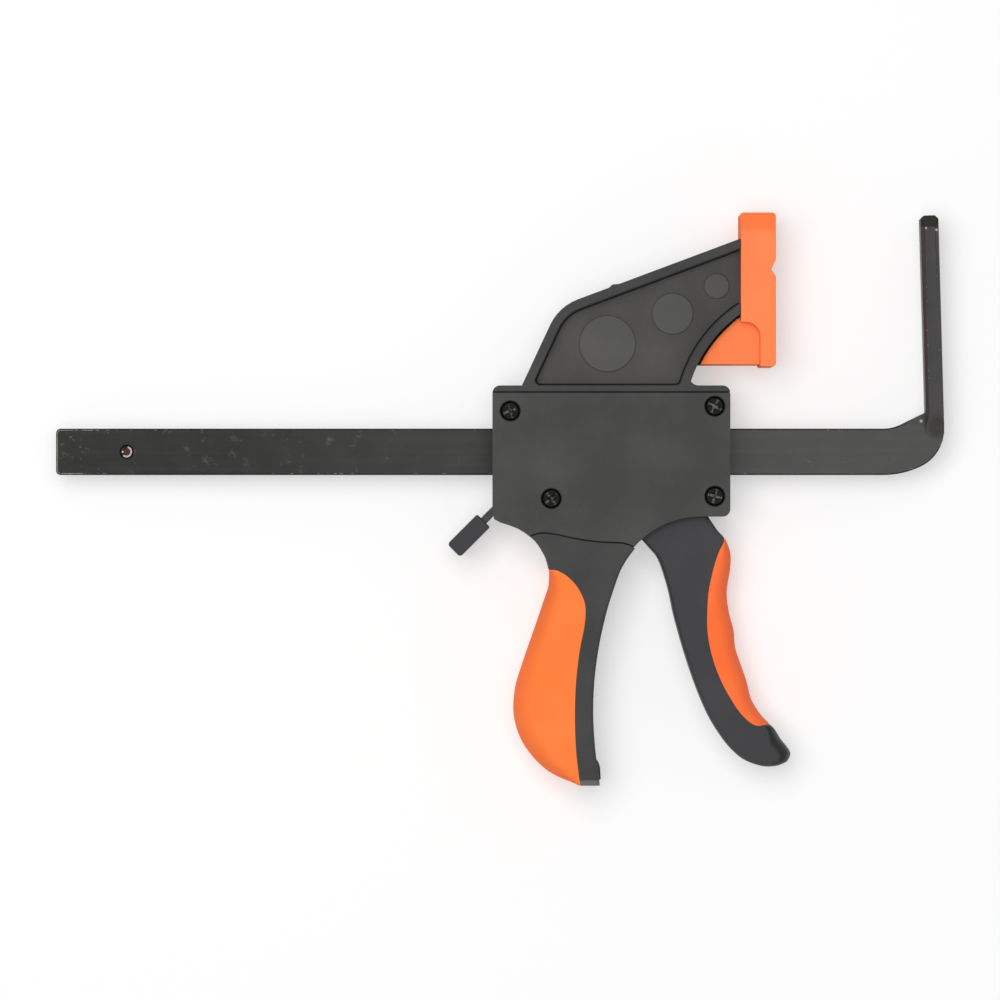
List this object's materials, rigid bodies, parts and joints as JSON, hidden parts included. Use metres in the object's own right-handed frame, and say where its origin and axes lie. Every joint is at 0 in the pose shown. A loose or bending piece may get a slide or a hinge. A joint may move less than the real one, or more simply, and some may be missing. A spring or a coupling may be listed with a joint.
{
  "type": "track saw clamp",
  "caption": "One-handed bar clamp for a saw's guide rail: a moulded housing with a padded jaw, pistol grip, trigger and release lever slides on a flat bar that turns up into a narrow arm.",
  "frame": {"origin": "on the housing's back face, on the bar's centre line, in the middle of the housing's width", "axes": "+X along the bar towards the arm, +Y from the bar up to the jaw, +Z through the housing to its cover"},
  "size_m": [0.306, 0.1966, 0.028],
  "materials": {
    "housing_plastic": "fine moulded texture, charcoal",
    "orange_plastic": "smooth moulded, orange",
    "orange_rubber": "soft over-moulded grip, orange",
    "blackened_bar": "blackened rolled steel with worn edges",
    "black_screw": "black oxide",
    "bright_steel": "plain bright steel"
  },
  "bodies": {
    "housing": {"body_frame": "housing_plastic", "cover_plate": "housing_plastic", "cover_screws": "black_screw", "jaw_pad": "orange_plastic", "handle_grip": "orange_rubber", "trigger_pin": "bright_steel", "brake_pin": "bright_steel", "drive_spring": "bright_steel", "brake_spring_back": "bright_steel", "brake_spring_cover": "bright_steel"},
    "bar": {"clamp_bar": "blackened_bar", "bar_stop_pin": "bright_steel"},
    "trigger": {"trigger": "housing_plastic", "trigger_grip": "orange_rubber"},
    "drive": {"drive_plate_front": "bright_steel", "drive_plate_rear": "bright_steel"},
    "release": {"brake_lever": "blackened_bar", "release_tab": "housing_plastic"}
  },
  "joints": [
    {"name": "bar_slide", "type": "slide", "parent": "housing", "child": "bar", "axis": [1, 0, 0], "range_m": [-0.0495, 0.1235]},
    {"name": "trigger_squeeze", "type": "hinge", "parent": "housing", "child": "trigger", "pos_m": [0.0247, 0.0139, 0.014], "axis": [0, 0, -1], "range_deg": [0, 15], "stiffness_Nm_per_rad": 2, "springref_deg": -5.73},
    {"name": "drive_push", "type": "slide", "parent": "housing", "child": "drive", "axis": [-1, 0, 0], "range_m": [0, 0.0069], "deforming": ["drive_spring"]},
    {"name": "release_press", "type": "hinge", "parent": "housing", "child": "release", "pos_m": [-0.0327, -0.0126, 0.014], "axis": [0, 0, 1], "range_deg": [0, 5], "stiffness_Nm_per_rad": 0.5, "springref_deg": -5.73, "deforming": ["brake_spring_back", "brake_spring_cover"]}
  ],
  "couplings": [
    {"joint": "drive_push", "follows": "trigger_squeeze", "m_per_rad": 0.026}
  ]
}
